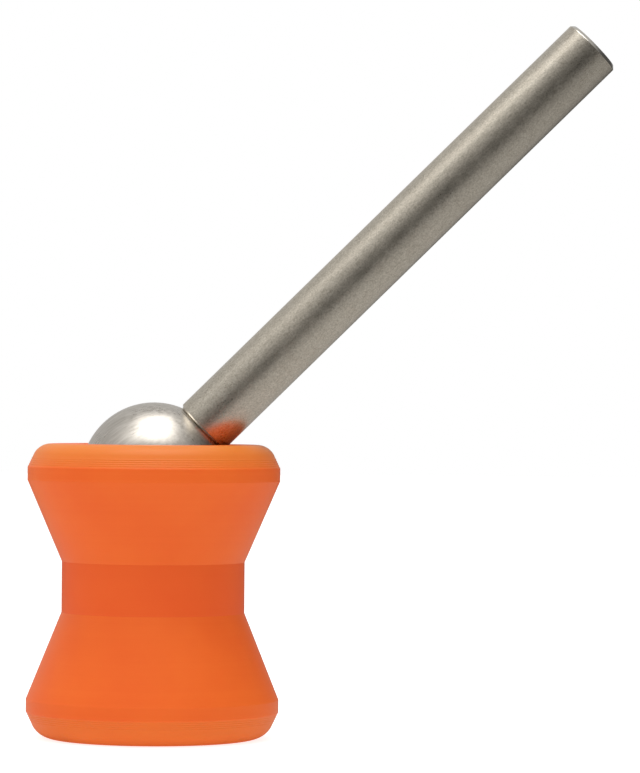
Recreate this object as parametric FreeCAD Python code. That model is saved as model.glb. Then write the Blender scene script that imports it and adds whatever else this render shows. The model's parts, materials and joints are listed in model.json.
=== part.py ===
"""Dead blow mallet: a shot-filled hourglass head whose bar handle swivels on a steel ball.

Millimetres, +Z up. The origin is the centre of the lower striking face, and the head's axis
is the Z axis. The handle leans towards +X and rests against the rim of the head's mouth.
"""

import math
import os

import FreeCAD
import Part

# ---- driving dimensions: head ----
FLANGE_R = 52.5  # radius of the two cylindrical bands
WAIST_WALL = 7.3  # polyurethane left around the bore at the waist
HEAD_HEIGHT = 122.0
LOWER_BEVEL_HEIGHT = 11.0
LOWER_BAND_HEIGHT = 5.1
LOWER_CONE_HEIGHT = 36.0
UPPER_BEVEL_HEIGHT = 9.7
UPPER_BAND_HEIGHT = 5.4
UPPER_CONE_HEIGHT = 33.7
BEVEL_ANGLE = 24.5  # degrees between the bevel and the head's axis
LOWER_EDGE_R = 9.0  # rounding between the flat lower face and its bevel
UPPER_EDGE_R = 7.4
EDGE_SHARE = 0.8  # most of a side that its rounding may take up

# ---- driving dimensions: ball and handle ----
BALL_R = 30.4
LIP_DEPTH = 2.668  # from the top face down to the lip that holds the ball
SWING_ANGLE = 45.28  # from upright to the stop, every way round
BAR_R = 12.7
BAR_LENGTH = 227.2
BAR_CHAMFER = 1.3
BALL_FLAT_DROP = 2.5  # depth of the flat that the bar stands on
STUD_R = 6.35
STUD_IN_BALL = 18.0
STUD_IN_BAR = 26.0
STUD_CHAMFER = 0.8
STUD_TIP_ROOM = 2.0  # blind hole past each end of the stud
HEX_SOCKET_R = 3.0  # across corners, halved
HEX_SOCKET_DEPTH = 6.0

# ---- driving dimensions: pieces inside the head ----
PLUG_STEP = 2.4  # from the bore out to the threaded length
PLUG_LEDGE = 3.0  # from the thread out to the plug's face
PLUG_FACE_THICKNESS = 8.0
PLUG_HEIGHT = 18.0
PLUG_EDGE_CHAMFER = 0.6
SPANNER_HOLE_R = 3.0
SPANNER_HOLE_DEPTH = 6.0
SPANNER_HOLE_INSET = 12.0  # from the plug's edge in to the hole's centre
SEAL_R = 1.5  # radius of the O-ring's section
SEAL_LAND = 1.5  # from the plug's top down to the groove
PAD_THICKNESS = 2.5
CANISTER_WALL = 2.2
CANISTER_FLOOR = 2.5
LID_THICKNESS = 2.5
LID_SPIGOT = 2.5
SHOT_R = 4.76
SHOT_HEADROOM = 2.5  # least height left above the shot for it to fly through
SPRING_COUNT = 4
SPRING_OUTER_R = 25.0
SPRING_INNER_R = 12.7
SPRING_THICKNESS = 1.5
SPRING_CONE = 1.0
PLATE_THICKNESS = 3.0
STEM_TRAVEL = 1.5  # room under the guide stem
CUP_FLOOR = 4.4
CUP_RIM_DROP = 14.0  # from the ball's centre down to the cup's rim
CUP_RELIEF_R = 8.0

# ---- named clearances ----
BALL_PLAY = 0.3  # around the ball, in its socket and in its cup
SIDE_PLAY = 0.3  # between the leaning bar and the mouth
SLIP = 0.15  # radial, for pieces dropped into the bore
THREAD_PLAY = 0.1  # radial, along each screwed length
STACK_GAP = 0.05  # axial, between pieces that press on each other
LID_PLAY = 0.1
SEAL_PLAY = 0.04
STEM_PLAY = 0.2
FOOT_GAP = 0.03  # between the bar's foot and the ball's flat
SHOT_GAP = 0.06  # between neighbouring balls
SHOT_WALL_GAP = 0.3  # least gap between the outer balls and the canister's wall

# ---- worked out: the ball's socket, its lip and the bore ----
LEAN_RADIANS = math.radians(SWING_ANGLE)
BESIDE_BAR = BAR_R + SIDE_PLAY  # from the leaning handle's axis out to the lip
SOCKET_R = BALL_R + BALL_PLAY
ALONG_BAR = math.sqrt(SOCKET_R ** 2 - BESIDE_BAR ** 2)  # from the ball's centre along to the lip
LIP_R = BESIDE_BAR * math.cos(LEAN_RADIANS) + ALONG_BAR * math.sin(LEAN_RADIANS)
LIP_HEIGHT = ALONG_BAR * math.cos(LEAN_RADIANS) - BESIDE_BAR * math.sin(LEAN_RADIANS)
BALL_DEPTH = LIP_HEIGHT + LIP_DEPTH  # from the top face down to the ball's centre
BORE_R = SOCKET_R
INSERT_R = BORE_R - SLIP
WAIST_R = BORE_R + WAIST_WALL
PLUG_THREAD_R = BORE_R + PLUG_STEP - THREAD_PLAY
PLUG_FACE_R = PLUG_THREAD_R + PLUG_LEDGE

# ---- worked out: heights ----
BALL_Z = HEAD_HEIGHT - BALL_DEPTH
CUP_BOTTOM_Z = BALL_Z - SOCKET_R - CUP_FLOOR
PLATE_BOTTOM_Z = CUP_BOTTOM_Z - STACK_GAP - PLATE_THICKNESS
SPRING_HEIGHT = SPRING_THICKNESS + SPRING_CONE
STACK_HEIGHT = SPRING_COUNT * SPRING_HEIGHT + (SPRING_COUNT + 1) * STACK_GAP
LID_TOP_Z = PLATE_BOTTOM_Z - STACK_HEIGHT
RIM_Z = LID_TOP_Z - LID_THICKNESS
SPIGOT_Z = RIM_Z - LID_SPIGOT
PAD_BOTTOM_Z = PLUG_HEIGHT + STACK_GAP
CANISTER_BOTTOM_Z = PAD_BOTTOM_Z + PAD_THICKNESS + STACK_GAP
SHOT_FLOOR_Z = CANISTER_BOTTOM_Z + CANISTER_FLOOR
BALL_FLAT = BALL_R - BALL_FLAT_DROP
FOOT = BALL_FLAT + FOOT_GAP

UP = FreeCAD.Vector(0, 0, 1)
BALL_CENTRE = FreeCAD.Vector(0, 0, BALL_Z)
LEAN = FreeCAD.Rotation(FreeCAD.Vector(0, 1, 0), SWING_ANGLE)


# ---- helpers ----
def point(radius, height):
    return FreeCAD.Vector(radius, 0, height)


def turned(outline):
    """Solid turned about Z from a closed outline of (radius, height) points.

    A point written (radius, height, "via") isn't a corner: the outline bends through it as an arc.
    """
    edges = []
    here = point(*outline[0][:2])
    via = None
    for step in outline[1:] + outline[:1]:
        there = point(*step[:2])
        if len(step) == 3:
            via = there
            continue
        curve = Part.Arc(here, via, there) if via else Part.LineSegment(here, there)
        edges.append(curve.toShape())
        here = there
        via = None
    return Part.Face(Part.Wire(edges)).revolve(FreeCAD.Vector(), UP, 360)


def rounded(before, corner, after, radius):
    """The three outline points that replace a corner by an arc tangent to its two sides.

    The arc takes up no more than EDGE_SHARE of the shorter side.
    """
    corner_at = point(*corner)
    back = point(*before) - corner_at
    ahead = point(*after) - corner_at
    half = back.getAngle(ahead) / 2
    longest_reach = EDGE_SHARE * min(back.Length, ahead.Length)
    radius = min(radius, longest_reach * math.tan(half))
    reach = radius / math.tan(half)
    back.normalize()
    ahead.normalize()
    middle = (back + ahead).normalize() * (radius / math.sin(half) - radius)
    start = corner_at + back * reach
    arc = corner_at + middle
    end = corner_at + ahead * reach
    return [(start.x, start.z), (arc.x, arc.z, "via"), (end.x, end.z)]


def on_handle(shape):
    """Carry a shape built upright on the ball's centre to the leaning handle's place."""
    shape.Placement = FreeCAD.Placement(BALL_CENTRE, LEAN)
    return shape


def rod(radius, start, end, chamfer):
    """Round bar along Z with both ends chamfered."""
    return turned([
        (0, start),
        (radius - chamfer, start),
        (radius, start + chamfer),
        (radius, end - chamfer),
        (radius - chamfer, end),
        (0, end),
    ])


def save(node, shape):
    if not shape.isValid():
        raise ValueError(node + " is not a valid shape")
    shape.exportStep("parts/" + node + ".step")


# ---- head ----
def head_shell():
    """Hourglass body with the socket, the mouth above it and the bore that is closed by the plug.

    The mouth is a cone that runs parallel to the leaning bar, from the lip up to the top face.
    """
    slope = math.tan(math.radians(BEVEL_ANGLE))
    lower_corner = (FLANGE_R - LOWER_BEVEL_HEIGHT * slope, 0)
    upper_corner = (FLANGE_R - UPPER_BEVEL_HEIGHT * slope, HEAD_HEIGHT)
    lower_band = (FLANGE_R, LOWER_BEVEL_HEIGHT)
    upper_band = (FLANGE_R, HEAD_HEIGHT - UPPER_BEVEL_HEIGHT)
    lower_cone_z = LOWER_BEVEL_HEIGHT + LOWER_BAND_HEIGHT
    upper_cone_z = upper_band[1] - UPPER_BAND_HEIGHT
    mouth_r = LIP_R + LIP_DEPTH * math.tan(LEAN_RADIANS)
    socket_turn = math.atan2(LIP_HEIGHT, LIP_R) / 2
    face_recess_r = PLUG_FACE_R + SLIP
    thread_r = PLUG_THREAD_R + THREAD_PLAY
    recess_top = PLUG_FACE_THICKNESS + STACK_GAP
    thread_top = PLUG_HEIGHT + STACK_GAP

    outline = [(face_recess_r, 0)]
    outline += rounded(outline[0], lower_corner, lower_band, LOWER_EDGE_R)
    outline += [
        lower_band,
        (FLANGE_R, lower_cone_z),
        (WAIST_R, lower_cone_z + LOWER_CONE_HEIGHT),
        (WAIST_R, upper_cone_z - UPPER_CONE_HEIGHT),
        (FLANGE_R, upper_cone_z),
        upper_band,
    ]
    outline += rounded(upper_band, upper_corner, (mouth_r, HEAD_HEIGHT), UPPER_EDGE_R)
    outline += [
        (mouth_r, HEAD_HEIGHT),
        (LIP_R, BALL_Z + LIP_HEIGHT),
        (SOCKET_R * math.cos(socket_turn), BALL_Z + SOCKET_R * math.sin(socket_turn), "via"),
        (SOCKET_R, BALL_Z),
        (BORE_R, thread_top),
        (thread_r, thread_top),
        (thread_r, recess_top),
        (face_recess_r, recess_top),
    ]
    return turned(outline)


def seal_groove():
    """Floor radius, lower and upper height of the groove that the plug's O-ring lies in."""
    floor_r = PLUG_THREAD_R + THREAD_PLAY - 2 * (SEAL_R + SEAL_PLAY)
    top = PLUG_HEIGHT - SEAL_LAND
    return floor_r, top - 2 * (SEAL_R + SEAL_PLAY), top


def striking_plug():
    """Screwed plug, flush with the lower face, with a seal groove and two spanner holes."""
    groove_floor, groove_bottom, groove_top = seal_groove()
    body = turned([
        (0, 0),
        (PLUG_FACE_R - PLUG_EDGE_CHAMFER, 0),
        (PLUG_FACE_R, PLUG_EDGE_CHAMFER),
        (PLUG_FACE_R, PLUG_FACE_THICKNESS),
        (PLUG_THREAD_R, PLUG_FACE_THICKNESS),
        (PLUG_THREAD_R, groove_bottom),
        (groove_floor, groove_bottom),
        (groove_floor, groove_top),
        (PLUG_THREAD_R, groove_top),
        (PLUG_THREAD_R, PLUG_HEIGHT - PLUG_EDGE_CHAMFER),
        (PLUG_THREAD_R - PLUG_EDGE_CHAMFER, PLUG_HEIGHT),
        (0, PLUG_HEIGHT),
    ])
    for side in (-1, 1):
        place = FreeCAD.Vector(0, side * (PLUG_FACE_R - SPANNER_HOLE_INSET), 0)
        body = body.cut(Part.makeCylinder(SPANNER_HOLE_R, SPANNER_HOLE_DEPTH, place))
    return body


def plug_seal():
    """O-ring in the plug's groove."""
    groove_floor, groove_bottom, groove_top = seal_groove()
    centre = FreeCAD.Vector(0, 0, (groove_bottom + groove_top) / 2)
    return Part.makeTorus(groove_floor + SEAL_PLAY + SEAL_R, SEAL_R, centre)


# ---- inside the head ----
def canister_pad():
    return Part.makeCylinder(INSERT_R, PAD_THICKNESS, FreeCAD.Vector(0, 0, PAD_BOTTOM_Z))


def shot_canister():
    """Open steel cup."""
    inner = INSERT_R - CANISTER_WALL
    return turned([
        (0, CANISTER_BOTTOM_Z),
        (INSERT_R, CANISTER_BOTTOM_Z),
        (INSERT_R, RIM_Z),
        (inner, RIM_Z),
        (inner, SHOT_FLOOR_Z),
        (0, SHOT_FLOOR_Z),
    ])


def canister_lid():
    """Lid with a spigot that centres it in the canister."""
    spigot_r = INSERT_R - CANISTER_WALL - LID_PLAY
    seat_z = RIM_Z + STACK_GAP
    return turned([
        (0, SPIGOT_Z),
        (spigot_r, SPIGOT_Z),
        (spigot_r, seat_z),
        (INSERT_R, seat_z),
        (INSERT_R, LID_TOP_Z),
        (0, LID_TOP_Z),
    ])


def steel_shot():
    """Loose balls in close-packed layers on the canister's floor; every second layer is offset.

    There are as many layers as leave the headroom free.
    """
    pitch = 2 * SHOT_R + SHOT_GAP
    row_pitch = pitch * math.sqrt(3) / 2
    layer_pitch = pitch * math.sqrt(2 / 3)
    reach = INSERT_R - CANISTER_WALL - SHOT_WALL_GAP - SHOT_R
    room = SPIGOT_Z - SHOT_HEADROOM - SHOT_FLOOR_Z - STACK_GAP - 2 * SHOT_R
    layers = 1 + math.floor(room / layer_pitch)
    rows = math.ceil(reach / row_pitch) + 1
    columns = math.ceil(reach / pitch) + 1
    balls = []
    for layer in range(layers):
        height = SHOT_FLOOR_Z + STACK_GAP + SHOT_R + layer * layer_pitch
        shift = (layer % 2) * row_pitch * 2 / 3
        for row in range(-rows, rows + 1):
            y = row * row_pitch + shift
            for column in range(-columns, columns + 1):
                x = (column + (row % 2) / 2) * pitch
                if math.hypot(x, y) <= reach:
                    balls.append(Part.makeSphere(SHOT_R, FreeCAD.Vector(x, y, height)))
    return Part.makeCompound(balls)


def disc_spring(index):
    """Coned washer; the stack alternates, so the washers meet rim to rim and bore to bore."""
    bottom = LID_TOP_Z + STACK_GAP + index * (SPRING_HEIGHT + STACK_GAP)
    bore_up = index % 2 == 0
    outer = bottom if bore_up else bottom + SPRING_CONE
    inner = bottom + SPRING_CONE if bore_up else bottom
    return turned([
        (SPRING_OUTER_R, outer),
        (SPRING_OUTER_R, outer + SPRING_THICKNESS),
        (SPRING_INNER_R, inner + SPRING_THICKNESS),
        (SPRING_INNER_R, inner),
    ])


def spring_plate():
    """Plate between the springs and the cup, with the stem that centres the springs."""
    stem_r = SPRING_INNER_R - STEM_PLAY
    top = PLATE_BOTTOM_Z + PLATE_THICKNESS
    stem_end = LID_TOP_Z + STEM_TRAVEL
    return turned([
        (0, stem_end),
        (stem_r, stem_end),
        (stem_r, PLATE_BOTTOM_Z),
        (INSERT_R, PLATE_BOTTOM_Z),
        (INSERT_R, top),
        (0, top),
    ])


def ball_cup():
    """Lower seat of the ball: a spherical dish with a relief in its floor."""
    rim_z = BALL_Z - CUP_RIM_DROP
    rim_r = math.sqrt(SOCKET_R ** 2 - CUP_RIM_DROP ** 2)
    relief_drop = math.sqrt(SOCKET_R ** 2 - CUP_RELIEF_R ** 2)
    middle = (math.asin(CUP_RIM_DROP / SOCKET_R) + math.asin(relief_drop / SOCKET_R)) / 2
    return turned([
        (CUP_RELIEF_R, CUP_BOTTOM_Z),
        (INSERT_R, CUP_BOTTOM_Z),
        (INSERT_R, rim_z),
        (rim_r, rim_z),
        (SOCKET_R * math.cos(middle), BALL_Z - SOCKET_R * math.sin(middle), "via"),
        (CUP_RELIEF_R, BALL_Z - relief_drop),
    ])


# ---- ball and handle, built upright on the ball's centre and then leaned ----
def swivel_ball():
    """Steel ball with a flat and a blind tapped hole for the stud."""
    ball = Part.makeSphere(BALL_R)
    above = Part.makeBox(2 * BALL_R, 2 * BALL_R, BALL_R, FreeCAD.Vector(-BALL_R, -BALL_R, BALL_FLAT))
    depth = STUD_IN_BALL + STUD_TIP_ROOM
    hole = Part.makeCylinder(STUD_R + THREAD_PLAY, depth, FreeCAD.Vector(0, 0, BALL_FLAT - depth))
    return on_handle(ball.cut(above).cut(hole))


def handle_stud():
    """Double-ended stud with a hex socket for driving it into the ball."""
    start = BALL_FLAT - STUD_IN_BALL
    end = FOOT + STUD_IN_BAR
    stud = rod(STUD_R, start, end, STUD_CHAMFER)
    corners = [
        FreeCAD.Vector(HEX_SOCKET_R * math.cos(turn), HEX_SOCKET_R * math.sin(turn), end)
        for turn in (math.radians(60 * side) for side in range(7))
    ]
    socket = Part.Face(Part.makePolygon(corners)).extrude(-UP * HEX_SOCKET_DEPTH)
    return on_handle(stud.cut(socket))


def handle_bar():
    """Plain round bar with a blind tapped hole in its foot."""
    bar = rod(BAR_R, FOOT, FOOT + BAR_LENGTH, BAR_CHAMFER)
    depth = STUD_IN_BAR + STUD_TIP_ROOM
    hole = Part.makeCylinder(STUD_R + THREAD_PLAY, depth, FreeCAD.Vector(0, 0, FOOT))
    return on_handle(bar.cut(hole))


# ---- write the pieces ----
os.makedirs("parts", exist_ok=True)
save("head_shell", head_shell())
save("striking_plug", striking_plug())
save("plug_seal", plug_seal())
save("canister_pad", canister_pad())
save("shot_canister", shot_canister())
save("canister_lid", canister_lid())
save("steel_shot", steel_shot())
for number in range(SPRING_COUNT):
    save("disc_spring_" + str(number + 1), disc_spring(number))
save("spring_plate", spring_plate())
save("ball_cup", ball_cup())
save("swivel_ball", swivel_ball())
save("handle_stud", handle_stud())
save("handle_bar", handle_bar())
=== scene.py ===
"""Dead blow mallet: orange hourglass head, satin steel ball and bar handle, on a pale floor."""

import json
import math

import bmesh
import bpy
from mathutils import Matrix, Vector


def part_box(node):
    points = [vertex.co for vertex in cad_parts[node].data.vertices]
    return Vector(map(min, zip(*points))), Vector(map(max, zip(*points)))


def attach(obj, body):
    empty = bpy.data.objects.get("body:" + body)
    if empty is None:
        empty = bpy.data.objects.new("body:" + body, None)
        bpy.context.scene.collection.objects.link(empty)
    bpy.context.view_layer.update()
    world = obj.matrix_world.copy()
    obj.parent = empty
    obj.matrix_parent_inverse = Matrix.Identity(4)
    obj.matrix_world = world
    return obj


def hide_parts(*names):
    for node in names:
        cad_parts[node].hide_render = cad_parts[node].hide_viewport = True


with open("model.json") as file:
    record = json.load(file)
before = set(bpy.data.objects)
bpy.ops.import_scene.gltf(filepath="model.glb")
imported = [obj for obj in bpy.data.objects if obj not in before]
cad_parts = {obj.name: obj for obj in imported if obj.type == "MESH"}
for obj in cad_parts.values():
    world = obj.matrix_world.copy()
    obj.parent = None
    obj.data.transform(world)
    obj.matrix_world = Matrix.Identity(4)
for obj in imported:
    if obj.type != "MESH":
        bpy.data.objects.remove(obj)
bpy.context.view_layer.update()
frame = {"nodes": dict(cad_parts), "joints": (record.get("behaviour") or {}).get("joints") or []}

# ---- Head shell ----
# One piece of orange polyurethane, cast as a bar and turned to an hourglass on a lathe. The
# tool leaves fine rings everywhere and a few coarser ridges on each bevel, beside the band.
MM = 0.001
TURN_STEPS = 240
shell_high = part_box("head_shell")[1]
FLANGE_R = shell_high.y
HEAD_TOP = shell_high.z
WAIST_R = 38.0 * MM
BEVEL_SLOPE = math.tan(math.radians(24.5))
LOWER_BEVEL_Z = 11.0 * MM
LOWER_CONE_Z = 16.1 * MM
LOWER_WAIST_Z = 52.1 * MM
UPPER_WAIST_Z = 73.2 * MM
UPPER_CONE_Z = 106.9 * MM
UPPER_BEVEL_Z = 112.3 * MM
LOWER_EDGE_REACH = 5.79 * MM
UPPER_EDGE_REACH = 4.76 * MM
# Outside this radius the bevels carry a painted highlight.
PALE_FROM_R = 42.5 * MM
RIDGES = 5
RIDGE_PITCH = 0.85 * MM
RIDGE_HEIGHT = 0.13 * MM
SHARP = math.radians(18)  # a turned corner steeper than this keeps its edge
WELD = 1e-7
RING_SCALE = 2100  # rings about 0.5 mm wide
FEED_SCALE = 330  # slow changes in the cut, about 3 mm wide
MOTTLE_SCALE = 30  # clouds in the casting, about 30 mm across
GRIT_SCALE = 1600  # satin grit, about 0.6 mm
MOUTH_R = 31.6 * MM
LIP_R = 28.91 * MM
LIP_HEIGHT = 10.33 * MM
SOCKET_STEPS = 12
ROUNDING_STEPS = 12
RECESS_R = 36.15 * MM
RECESS_TOP = 8.05 * MM
THREAD_R = 33.1 * MM
THREAD_TOP = 18.05 * MM


def joint(name):
    return next(one for one in frame["joints"] if one["name"] == name)


def linear(colour):
    """An sRGB hex colour as the linear RGBA that a shader takes."""
    channels = [int(colour[i:i + 2], 16) / 255 for i in (1, 3, 5)]
    return [c / 12.92 if c <= 0.04045 else ((c + 0.055) / 1.055) ** 2.4 for c in channels] + [1]


def add(tree, kind, inputs, **settings):
    """Adds one shader node; each input is a value or a socket to link from."""
    made = tree.nodes.new("ShaderNode" + kind)
    for name, value in settings.items():
        setattr(made, name, value)
    for name, value in inputs.items():
        if isinstance(value, bpy.types.NodeSocket):
            tree.links.new(value, made.inputs[name])
        else:
            made.inputs[name].default_value = value
    return made


def new_material(name):
    material = bpy.data.materials.new(name)
    material.use_nodes = True
    material.node_tree.nodes.clear()
    return material, material.node_tree


def path(bm, points):
    """Wire through points given as (radius, height), in the XZ plane."""
    verts = [bm.verts.new((radius, 0, height)) for radius, height in points]
    for start, end in zip(verts, verts[1:]):
        bm.edges.new((start, end))
    return verts


def round_corners(bm, corners, reach, segments):
    bmesh.ops.bevel(bm, geom=corners, offset=reach, offset_type="OFFSET", segments=segments,
                    profile=0.5, affect="VERTICES", material=-1)


def turn(bm, steps=TURN_STEPS):
    """Spins all wires about Z into a closed skin, with its poles and its start and end merged."""
    geometry = bm.verts[:] + bm.edges[:]
    bmesh.ops.spin(bm, geom=geometry, cent=(0, 0, 0), axis=(0, 0, 1), angle=math.tau, steps=steps,
                   use_merge=True, use_duplicate=False)
    bmesh.ops.remove_doubles(bm, verts=bm.verts, dist=WELD)
    bmesh.ops.recalc_face_normals(bm, faces=bm.faces)


def make_piece(bm, name, body, material):
    for face in bm.faces:
        face.smooth = True
    for edge in bm.edges:
        edge.smooth = edge.calc_face_angle(0) < SHARP
    mesh = bpy.data.meshes.new(name)
    bm.to_mesh(mesh)
    bm.free()
    mesh.materials.append(material)
    piece = bpy.data.objects.new(name, mesh)
    bpy.context.scene.collection.objects.link(piece)
    piece.modifiers.new("Even shading", "WEIGHTED_NORMAL").keep_sharp = True
    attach(piece, body)
    return piece


def turned_polyurethane():
    """Satin cast polyurethane: a slightly see-through orange with concentric lathe rings.

    The rings are finer than can be seen, so they are drawn at about half a millimetre. The two
    bevels were cut with a coarser feed, which leaves visible grooves. The bevels are mixed
    lighter as painted highlight, the upper one more so towards the top face. The waist is mixed
    darker and redder as painted shade between the flanges.
    """
    material, tree = new_material("turned orange polyurethane")
    place = add(tree, "TexCoord", {})
    parts = add(tree, "SeparateXYZ", {"Vector": place.outputs["Object"]})
    flat = add(tree, "CombineXYZ", {"X": parts.outputs["X"], "Y": parts.outputs["Y"]})
    radius = add(tree, "VectorMath", {0: flat.outputs[0]}, operation="LENGTH")
    ring = add(tree, "CombineXYZ", {"X": radius.outputs["Value"], "Z": parts.outputs["Z"]})
    fine = add(tree, "TexNoise", {"Vector": ring.outputs[0], "Scale": RING_SCALE, "Detail": 3,
                                  "Roughness": 0.65})
    coarse = add(tree, "TexNoise", {"Vector": ring.outputs[0], "Scale": FEED_SCALE, "Detail": 2})
    cloud = add(tree, "TexNoise", {"Vector": place.outputs["Object"], "Scale": MOTTLE_SCALE,
                                   "Detail": 4})
    grit = add(tree, "TexNoise", {"Vector": place.outputs["Object"], "Scale": GRIT_SCALE,
                                  "Detail": 2})
    rings = add(tree, "Math", {0: fine.outputs["Fac"], 1: coarse.outputs["Fac"]}, operation="ADD")
    both = add(tree, "Math", {0: grit.outputs["Fac"], 1: 0.5, 2: rings.outputs[0]},
               operation="MULTIPLY_ADD")
    bump = add(tree, "Bump", {"Height": both.outputs[0], "Strength": 0.35, "Distance": 0.0001})
    mixed = add(tree, "Math", {0: rings.outputs[0], 1: 0.22, 2: cloud.outputs["Fac"]},
                operation="MULTIPLY_ADD")
    tone = add(tree, "MapRange", {"Value": mixed.outputs[0], "From Min": 0.3, "From Max": 1.14})
    colour = add(tree, "Mix", {"Factor": tone.outputs["Result"], "A": linear("#E45A16"),
                               "B": linear("#EE6C20")}, data_type="RGBA")
    # Painted shade: the waist, set in between the two flanges, is mixed halfway to a darker,
    # redder orange.
    waist = add(tree, "Math", {0: parts.outputs["Z"], 1: (LOWER_WAIST_Z + UPPER_WAIST_Z) / 2,
                               2: (UPPER_WAIST_Z - LOWER_WAIST_Z) / 2}, operation="COMPARE")
    painted_waist_shade = add(tree, "Math", {0: waist.outputs[0], 1: 0.5}, operation="MULTIPLY")
    body = add(tree, "Mix", {"Factor": painted_waist_shade.outputs[0], "A": colour.outputs["Result"],
                             "B": linear("#E24E16")}, data_type="RGBA")
    # Painted highlight: outside PALE_FROM_R the bevels are mixed towards a lighter orange, the
    # lower bevel lightly and the upper one more and more up to the top face.
    below = add(tree, "MapRange", {"Value": parts.outputs["Z"], "From Min": LOWER_BEVEL_Z,
                                   "From Max": LOWER_BEVEL_Z - RIDGE_PITCH})
    above = add(tree, "MapRange", {"Value": parts.outputs["Z"], "From Min": UPPER_BEVEL_Z,
                                   "From Max": UPPER_BEVEL_Z + RIDGE_PITCH})
    bevel = add(tree, "Math", {0: below.outputs["Result"], 1: above.outputs["Result"]},
                operation="MAXIMUM")
    painted_highlight_rise = add(tree, "MapRange", {"Value": parts.outputs["Z"], "From Min": UPPER_BEVEL_Z,
                                   "From Max": HEAD_TOP, "To Min": 0.3, "To Max": 0.9})
    outer = add(tree, "MapRange", {"Value": radius.outputs["Value"], "From Min": PALE_FROM_R,
                                   "From Max": PALE_FROM_R + 2.0 * MM})
    cut = add(tree, "Math", {0: bevel.outputs[0], 1: outer.outputs["Result"]},
              operation="MULTIPLY")
    painted_highlight_share = add(tree, "Math", {0: cut.outputs[0], 1: painted_highlight_rise.outputs["Result"]},
                operation="MULTIPLY")
    with_painted_highlight = add(tree, "Mix", {"Factor": painted_highlight_share.outputs[0], "A": body.outputs["Result"],
                              "B": linear("#DC7F30")}, data_type="RGBA")
    shader = add(tree, "BsdfPrincipled", {
        "Base Color": with_painted_highlight.outputs["Result"], "Roughness": 0.42, "IOR": 1.5,
        "Specular IOR Level": 0.25,
        "Subsurface Weight": 0.1, "Subsurface Radius": (1.0, 0.35, 0.12),
        "Subsurface Scale": 0.0015, "Normal": bump.outputs["Normal"]})
    add(tree, "OutputMaterial", {"Surface": shader.outputs["BSDF"]})
    return material


def head_shell():
    ball_z = joint("ball_tilt")["pos_m"][2]
    bm = bmesh.new()
    lower_face_r = FLANGE_R - LOWER_BEVEL_Z * BEVEL_SLOPE
    upper_face_r = FLANGE_R - (HEAD_TOP - UPPER_BEVEL_Z) * BEVEL_SLOPE
    face_corners = path(bm, [(RECESS_R, 0), (lower_face_r, 0)])
    lower = face_corners[1]
    outline = path(bm, [
        (FLANGE_R, LOWER_BEVEL_Z), (FLANGE_R, LOWER_CONE_Z), (WAIST_R, LOWER_WAIST_Z),
        (WAIST_R, UPPER_WAIST_Z), (FLANGE_R, UPPER_CONE_Z), (FLANGE_R, UPPER_BEVEL_Z)])
    upper = bm.verts.new((upper_face_r, 0, HEAD_TOP))
    for side, rising in ((-1, LOWER_BEVEL_Z), (1, UPPER_BEVEL_Z)):
        end = outline[0] if side < 0 else outline[-1]
        here = end
        for step in range(1, 2 * RIDGES + 1):
            height = rising + side * step * RIDGE_PITCH / 2
            raised = RIDGE_HEIGHT if step % 2 == 0 else 0
            radius = FLANGE_R - abs(height - rising) * BEVEL_SLOPE - raised
            there = bm.verts.new((radius, 0, height))
            bm.edges.new((here, there))
            here = there
        bm.edges.new((here, lower if side < 0 else upper))
    inside = path(bm, [(MOUTH_R, HEAD_TOP), (LIP_R, ball_z + LIP_HEIGHT)])
    bm.edges.new((upper, inside[0]))
    turn_down = math.atan2(LIP_HEIGHT, LIP_R)
    swept = bmesh.ops.spin(bm, geom=[inside[1]], cent=(0, 0, ball_z), axis=(0, 1, 0),
                           angle=turn_down, steps=SOCKET_STEPS)
    equator = next(v for v in swept["geom_last"] if isinstance(v, bmesh.types.BMVert))
    below = path(bm, [(equator.co.x, THREAD_TOP), (THREAD_R, THREAD_TOP), (THREAD_R, RECESS_TOP),
                      (RECESS_R, RECESS_TOP)])
    bm.edges.new((equator, below[0]))
    bm.edges.new((below[-1], face_corners[0]))
    round_corners(bm, [lower], LOWER_EDGE_REACH, ROUNDING_STEPS)
    round_corners(bm, [upper], UPPER_EDGE_REACH, ROUNDING_STEPS)
    turn(bm)
    return bm


polyurethane = turned_polyurethane()
shell = make_piece(head_shell(), "turned_head_shell", "head", polyurethane)
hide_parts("head_shell")


# ---- Striking plug ----
# Plug of the same orange polyurethane, screwed into the shell's lower end and faced off flush
# with it. Two blind holes in its face take a pin spanner.
def refinish(material, *names):
    for name in names:
        frame["nodes"][name].data.materials.clear()
        frame["nodes"][name].data.materials.append(material)


refinish(polyurethane, "striking_plug")

# ---- Swivel ball ----
# Turned stainless steel ball with a flat and a blind hole for the stud. It was polished by
# hand with abrasive cloth, which leaves a soft gloss and slanting streaks.
BALL_R = 30.4 * MM
BALL_FLAT = 27.9 * MM
STUD_HOLE_R = 6.45 * MM
BALL_HOLE_DEPTH = 20.0 * MM
EDGE_BREAK = 0.15 * MM
STREAK_SCALE = 900  # streaks about 1 mm wide
GRAIN_SCALE = 1500  # grain about 0.6 mm
WEAR_SCALE = 60  # patches of wear about 15 mm across
BALL_STEPS = 72
handle_axis = Vector(joint("handle_spin")["axis"])
handle_centre = Vector(joint("handle_spin")["pos_m"])
HANDLE_LEAN = math.atan2(handle_axis.x, handle_axis.z)
handle_place = Matrix.Translation(handle_centre) @ Matrix.Rotation(HANDLE_LEAN, 4, "Y")


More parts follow.
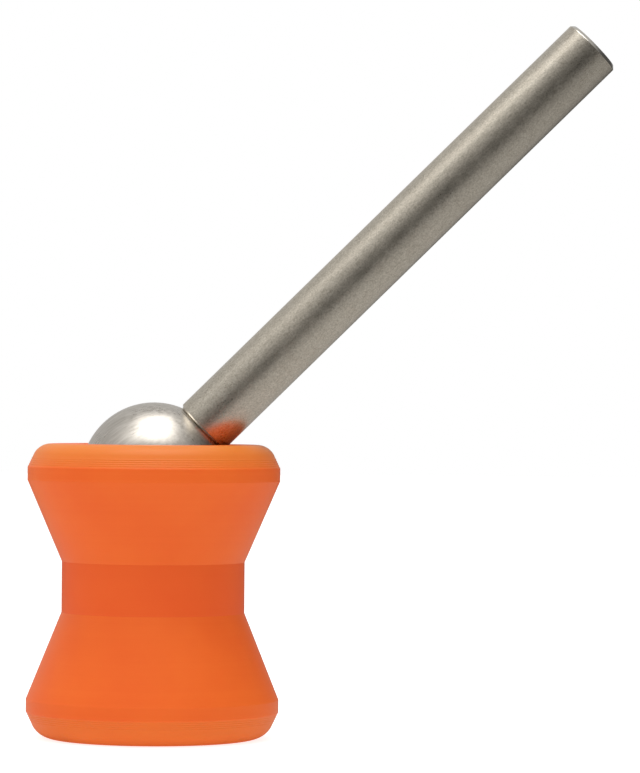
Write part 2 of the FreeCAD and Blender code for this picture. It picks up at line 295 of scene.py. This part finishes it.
def satin_steel(name, light, dark, roughness, streak_turn, stretch, speckle, bump_strength):
    """Stainless steel in two close tones, with streaks drawn out along one direction.

    Abrasive grains leave marks a few hundredths of a millimetre wide; here they are drawn at
    about a millimetre, so that they show.
    """
    material, tree = new_material(name)
    place = add(tree, "TexCoord", {})
    lined_up = add(tree, "Mapping", {"Vector": place.outputs["Object"], "Rotation": streak_turn})
    drawn_out = add(tree, "VectorMath", {0: lined_up.outputs["Vector"], 1: stretch},
                    operation="MULTIPLY")
    streaks = add(tree, "TexNoise", {"Vector": drawn_out.outputs["Vector"], "Scale": STREAK_SCALE,
                                     "Detail": 5, "Roughness": 0.7})
    grain = add(tree, "TexNoise", {"Vector": place.outputs["Object"], "Scale": GRAIN_SCALE,
                                   "Detail": 2, "Roughness": 0.6})
    cloud = add(tree, "TexNoise", {"Vector": place.outputs["Object"], "Scale": WEAR_SCALE,
                                   "Detail": 4})
    marks = add(tree, "Mix", {"Factor": speckle, "A": streaks.outputs["Fac"],
                              "B": grain.outputs["Fac"]}, data_type="FLOAT")
    tone = add(tree, "MapRange", {"Value": marks.outputs["Result"], "From Min": 0.35,
                                  "From Max": 0.65})
    colour = add(tree, "Mix", {"Factor": tone.outputs["Result"], "A": linear(dark),
                               "B": linear(light)}, data_type="RGBA")
    worn = add(tree, "Math", {0: marks.outputs["Result"], 1: cloud.outputs["Fac"]},
               operation="ADD")
    rough = add(tree, "MapRange", {"Value": worn.outputs[0], "From Min": 0.7, "From Max": 1.3,
                                   "To Min": roughness - 0.1, "To Max": roughness + 0.1})
    bump = add(tree, "Bump", {"Height": marks.outputs["Result"], "Strength": bump_strength,
                              "Distance": 0.00006})
    shader = add(tree, "BsdfPrincipled", {
        "Base Color": colour.outputs["Result"], "Metallic": 1.0,
        "Roughness": rough.outputs["Result"], "Normal": bump.outputs["Normal"]})
    add(tree, "OutputMaterial", {"Surface": shader.outputs["BSDF"]})
    return material


def swivel_ball():
    bm = bmesh.new()
    flat_r = math.sqrt(BALL_R ** 2 - BALL_FLAT ** 2)
    floor_z = BALL_FLAT - BALL_HOLE_DEPTH
    inside = path(bm, [(0, floor_z), (STUD_HOLE_R, floor_z), (STUD_HOLE_R, BALL_FLAT),
                       (flat_r, BALL_FLAT)])
    bmesh.ops.spin(bm, geom=[inside[-1]], cent=(0, 0, 0), axis=(0, 1, 0),
                   angle=math.pi - math.atan2(flat_r, BALL_FLAT), steps=BALL_STEPS)
    round_corners(bm, inside[2:], EDGE_BREAK, 2)
    turn(bm)
    bmesh.ops.transform(bm, matrix=handle_place, verts=bm.verts)
    return bm


polished_steel = satin_steel(
    "hand-polished stainless steel", "#DAD4CB", "#BEB7AC", roughness=0.32,
    streak_turn=(0, math.radians(35), 0), stretch=(0.06, 1, 1), speckle=0.05, bump_strength=0.7)
ball = make_piece(swivel_ball(), "polished_ball", "ball", polished_steel)
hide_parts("swivel_ball")

# ---- Bar handle ----
# One inch stainless round stock, blasted with fine grit to an even satin grain. A blind hole in
# the foot takes the stud. The ends are dull from the saw, and the fresh chamfers are bright.
BAR_R = 12.7 * MM
BAR_FOOT = 27.93 * MM
BAR_LENGTH = 227.2 * MM
BAR_CHAMFER = 1.3 * MM
CHAMFER_BREAK = 0.2 * MM
BAR_HOLE_DEPTH = 28.0 * MM
BARREL, CHAMFER, END = 0, 1, 2  # the bar's finishes, in the order of its materials


def handle_bar():
    bm = bmesh.new()
    end = BAR_FOOT + BAR_LENGTH
    hole_top = BAR_FOOT + BAR_HOLE_DEPTH
    outline = path(bm, [
        (0, hole_top), (STUD_HOLE_R, hole_top), (STUD_HOLE_R, BAR_FOOT),
        (BAR_R - BAR_CHAMFER, BAR_FOOT), (BAR_R, BAR_FOOT + BAR_CHAMFER),
        (BAR_R, end - BAR_CHAMFER), (BAR_R - BAR_CHAMFER, end), (0, end)])
    round_corners(bm, outline[3:7], CHAMFER_BREAK, 3)
    turn(bm)
    bm.normal_update()
    for face in bm.faces:
        tipped = abs(face.normal.z)
        face.material_index = END if tipped > 0.95 else CHAMFER if tipped > 0.3 else BARREL
    bmesh.ops.transform(bm, matrix=handle_place, verts=bm.verts)
    return bm


ALONG_THE_BAR = (0, -HANDLE_LEAN, 0)
blasted_steel = satin_steel(
    "grit-blasted stainless steel", "#DFD7C8", "#B4AB9B", roughness=0.36,
    streak_turn=ALONG_THE_BAR, stretch=(1, 1, 0.5), speckle=0.6, bump_strength=0.5)
bar = make_piece(handle_bar(), "satin_bar", "handle", blasted_steel)
bar.data.materials.append(satin_steel(
    "freshly cut stainless steel", "#EAE5DC", "#DAD4C9", roughness=0.12,
    streak_turn=ALONG_THE_BAR, stretch=(1, 1, 1), speckle=0.5, bump_strength=0.1))
bar.data.materials.append(satin_steel(
    "sawn stainless steel", "#A39D93", "#857F76", roughness=0.5,
    streak_turn=ALONG_THE_BAR, stretch=(0.1, 1, 1), speckle=0.2, bump_strength=0.5))
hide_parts("handle_bar")

# ---- Shot canister, lid and spring plate ----
# Turned from bright steel bar. The canister holds the shot, the lid closes it, and the plate's
# stem keeps the disc springs in line. The tool leaves them a soft grey shine.
UPRIGHT = (0, 0, 0)
ROUND_THE_AXIS = (0.3, 0.3, 1)
turned_steel = satin_steel(
    "turned canister steel", "#B4B5B5", "#9A9B9B", roughness=0.32,
    streak_turn=UPRIGHT, stretch=ROUND_THE_AXIS, speckle=0.3, bump_strength=0.2)
refinish(turned_steel, "shot_canister", "canister_lid", "spring_plate")

# ---- Steel shot ----
# Loose balls of hard carbon steel in three layers, free to shift in the canister. They are
# ground all over, and so bright and smooth.
ground_steel = satin_steel(
    "ground shot steel", "#C4C5C6", "#ACADAE", roughness=0.18,
    streak_turn=UPRIGHT, stretch=(1, 1, 1), speckle=0.8, bump_strength=0.1)
refinish(ground_steel, "steel_shot")

# ---- Disc springs ----
# Four cone washers, stamped from spring steel and stacked to press the seat up to the ball.
# Hardening turned them dark, and they are oiled.
spring_steel = satin_steel(
    "oiled spring steel", "#5A5B5F", "#434448", roughness=0.28,
    streak_turn=UPRIGHT, stretch=ROUND_THE_AXIS, speckle=0.4, bump_strength=0.2)
refinish(spring_steel, "disc_spring_1", "disc_spring_2", "disc_spring_3", "disc_spring_4")

# ---- Handle stud ----
# Double-ended stud of alloy steel between ball and bar, blackened in a hot oxide bath, which
# leaves a dull black that is a little uneven.
blackened_steel = satin_steel(
    "black oxide steel", "#333437", "#242527", roughness=0.4,
    streak_turn=UPRIGHT, stretch=(1, 1, 0.4), speckle=0.6, bump_strength=0.2)
refinish(blackened_steel, "handle_stud")


# ---- Plug seal and canister pad ----
# Black nitrile rubber: a moulded O-ring round the plug, and a disc cut from sheet that takes
# the knock of the canister. Dull, with a faint unevenness of about 3 mm.
DULL_SCALE = 300  # about 3 mm


def plain(name, colour, roughness):
    material, tree = new_material(name)
    place = add(tree, "TexCoord", {})
    cloud = add(tree, "TexNoise", {"Vector": place.outputs["Object"], "Scale": DULL_SCALE,
                                   "Detail": 3})
    bump = add(tree, "Bump", {"Height": cloud.outputs["Fac"], "Strength": 0.1, "Distance": 0.0001})
    shader = add(tree, "BsdfPrincipled", {"Base Color": linear(colour), "Roughness": roughness,
                                          "Normal": bump.outputs["Normal"]})
    add(tree, "OutputMaterial", {"Surface": shader.outputs["BSDF"]})
    return material


refinish(plain("black nitrile rubber", "#161616", roughness=0.6), "plug_seal", "canister_pad")

# ---- Ball cup ----
# Lower seat of the ball, turned from white acetal rod. It has a waxy half gloss, and the springs
# push it up so that the ball moves stiffly.
refinish(plain("white acetal", "#E8E6DE", roughness=0.35), "ball_cup")

# ---- Floor ----
# Plain matt white floor, even to the camera. In reflections it shows a painted patch of light that
# fades with distance, and it glows for matt surfaces, which gives the orange head extra light.
FLOOR_SIZE = 12.0
FLOOR_DROP = 0.2 * MM
floor_mesh = bpy.data.meshes.new("floor")
bm = bmesh.new()
bmesh.ops.create_grid(bm, x_segments=1, y_segments=1, size=FLOOR_SIZE / 2)
bm.to_mesh(floor_mesh)
bm.free()
floor = bpy.data.objects.new("floor", floor_mesh)
floor.location.z = -FLOOR_DROP
bpy.context.scene.collection.objects.link(floor)
material, tree = new_material("pale floor")
rays = add(tree, "LightPath", {})
place = add(tree, "TexCoord", {})
away = add(tree, "VectorMath", {0: place.outputs["Object"]}, operation="LENGTH")
# Painted light: in reflections the floor is bright near the head and fades to dark a metre away.
painted_light_pool = add(tree, "MapRange", {"Value": away.outputs["Value"], "From Min": 0.1, "From Max": 1.1,
                              "To Min": 0.53, "To Max": 0.05})
plain_shade = add(tree, "Mix", {"Factor": rays.outputs["Is Camera Ray"], "A": 0.4, "B": 0.5},
                  data_type="FLOAT")
shade = add(tree, "Mix", {"Factor": rays.outputs["Is Glossy Ray"],
                          "A": plain_shade.outputs["Result"], "B": painted_light_pool.outputs["Result"]},
            data_type="FLOAT")
matt = add(tree, "BsdfDiffuse", {"Color": shade.outputs["Result"]})
seen_glow = add(tree, "Math", {0: rays.outputs["Is Camera Ray"], 1: 0.8}, operation="MULTIPLY")
all_glow = add(tree, "Math", {0: rays.outputs["Is Diffuse Ray"], 1: 0.84,
                              2: seen_glow.outputs[0]}, operation="MULTIPLY_ADD")
lit = add(tree, "Emission", {"Strength": all_glow.outputs[0]})
shader = add(tree, "AddShader", {0: matt.outputs[0], 1: lit.outputs[0]})
add(tree, "OutputMaterial", {"Surface": shader.outputs[0]})
floor_mesh.materials.append(material)

# ---- Studio light ----
# White room. Matt surfaces are lit by its walls and ceiling, and polished ones see it darker in
# front and to the right. Three softboxes add the highlights.
world = bpy.data.worlds.new("studio")
bpy.context.scene.world = world
world.use_nodes = True
world.node_tree.nodes.clear()
tree = world.node_tree
rays = add(tree, "LightPath", {})
where = add(tree, "TexCoord", {})
FRONT = Vector((0.3, -0.93, -0.2))
LEFT = Vector((-0.9, -0.2, 0.0))
RIGHT = Vector((0.93, 0.35, -0.1))
AIM = Vector((0.05, 0, 0.12))
facing = add(tree, "VectorMath", {0: where.outputs["Generated"], 1: FRONT},
             operation="DOT_PRODUCT")
mirrored = add(tree, "MapRange", {"Value": facing.outputs["Value"], "From Min": 0.3,
                                  "From Max": 0.97, "To Min": 0.53, "To Max": 0.11},
               interpolation_type="SMOOTHSTEP")
rightward = add(tree, "VectorMath", {0: where.outputs["Generated"], 1: RIGHT},
                operation="DOT_PRODUCT")
shaded = add(tree, "MapRange", {"Value": rightward.outputs["Value"], "From Min": 0.35,
                                "From Max": 0.9, "To Min": 1.0, "To Max": 0.15},
             interpolation_type="SMOOTHSTEP")
behind = add(tree, "MapRange", {"Value": facing.outputs["Value"], "From Min": -0.2,
                                "From Max": -0.9, "To Min": 0.0, "To Max": 0.03})
around = add(tree, "Math", {0: mirrored.outputs["Result"], 1: behind.outputs["Result"]},
             operation="ADD")
polished = add(tree, "Math", {0: around.outputs[0], 1: shaded.outputs["Result"]},
               operation="MULTIPLY")
leftward = add(tree, "VectorMath", {0: where.outputs["Generated"], 1: LEFT},
               operation="DOT_PRODUCT")
upward = add(tree, "SeparateXYZ", {"Vector": where.outputs["Generated"]})
walls = add(tree, "MapRange", {"Value": leftward.outputs["Value"], "From Min": -1, "From Max": 1,
                               "To Min": 0.32, "To Max": 0.74})
ceiling = add(tree, "MapRange", {"Value": upward.outputs["Z"], "From Min": 0.1, "From Max": 1,
                                 "To Min": 0.0, "To Max": 0.5}, interpolation_type="SMOOTHSTEP")
room = add(tree, "Math", {0: walls.outputs["Result"], 1: ceiling.outputs["Result"]},
           operation="ADD")
felt = add(tree, "Mix", {"Factor": rays.outputs["Is Glossy Ray"], "A": room.outputs[0],
                         "B": polished.outputs[0]}, data_type="FLOAT")
seen = add(tree, "Mix", {"Factor": rays.outputs["Is Camera Ray"], "A": felt.outputs["Result"],
                         "B": 1.0}, data_type="FLOAT")
glow = add(tree, "Background", {"Color": (1, 1, 1, 1), "Strength": seen.outputs["Result"]})
add(tree, "OutputWorld", {"Surface": glow.outputs["Background"]})


def softbox(name, place, width, height, watts):
    light = bpy.data.lights.new(name, "AREA")
    light.shape = "RECTANGLE"
    light.size = width
    light.size_y = height
    light.energy = watts
    lamp = bpy.data.objects.new(name, light)
    lamp.location = place
    lamp.rotation_euler = (AIM - Vector(place)).to_track_quat("-Z", "Y").to_euler()
    lamp.visible_camera = False
    bpy.context.scene.collection.objects.link(lamp)
    return lamp


softbox("overhead softbox", (0.1, -0.16, 1.5), width=0.95, height=1.2, watts=10.3)
softbox("front softbox", (-0.48, -0.55, 1.5), width=0.3, height=0.4, watts=0.8)
softbox("left softbox", (-0.45, -0.2, 0.95), width=0.45, height=0.45, watts=0.36)

# ---- Camera ----
# Long lens at bench height, a little above the head's top face and turned a few degrees.
CAMERA_AZIMUTH = math.radians(4.8)
CAMERA_DISTANCE = 1.6159
CAMERA_ABOVE_TOP = 0.01693
CAMERA_YAW = math.radians(2.438)
CAMERA_LOOK_UP = math.radians(0.271)
CAMERA_ROLL = math.radians(0.461)
CAMERA_LENS = 180.7
CAMERA_SENSOR = 36
camera_data = bpy.data.cameras.new("camera")
camera_data.sensor_width = CAMERA_SENSOR
camera_data.lens = CAMERA_LENS
camera = bpy.data.objects.new("camera", camera_data)
bpy.context.scene.collection.objects.link(camera)
panned = Matrix.Rotation(CAMERA_AZIMUTH - CAMERA_YAW, 4, "Z")
tipped = Matrix.Rotation(math.pi / 2 + CAMERA_LOOK_UP, 4, "X")
rolled = Matrix.Rotation(CAMERA_ROLL, 4, "Z")
stand = Vector((math.sin(CAMERA_AZIMUTH), -math.cos(CAMERA_AZIMUTH), 0)) * CAMERA_DISTANCE
stand.z = HEAD_TOP + CAMERA_ABOVE_TOP
camera.matrix_world = Matrix.Translation(stand) @ panned @ tipped @ rolled
bpy.context.scene.camera = camera
bpy.context.scene.view_settings.view_transform = "Standard"
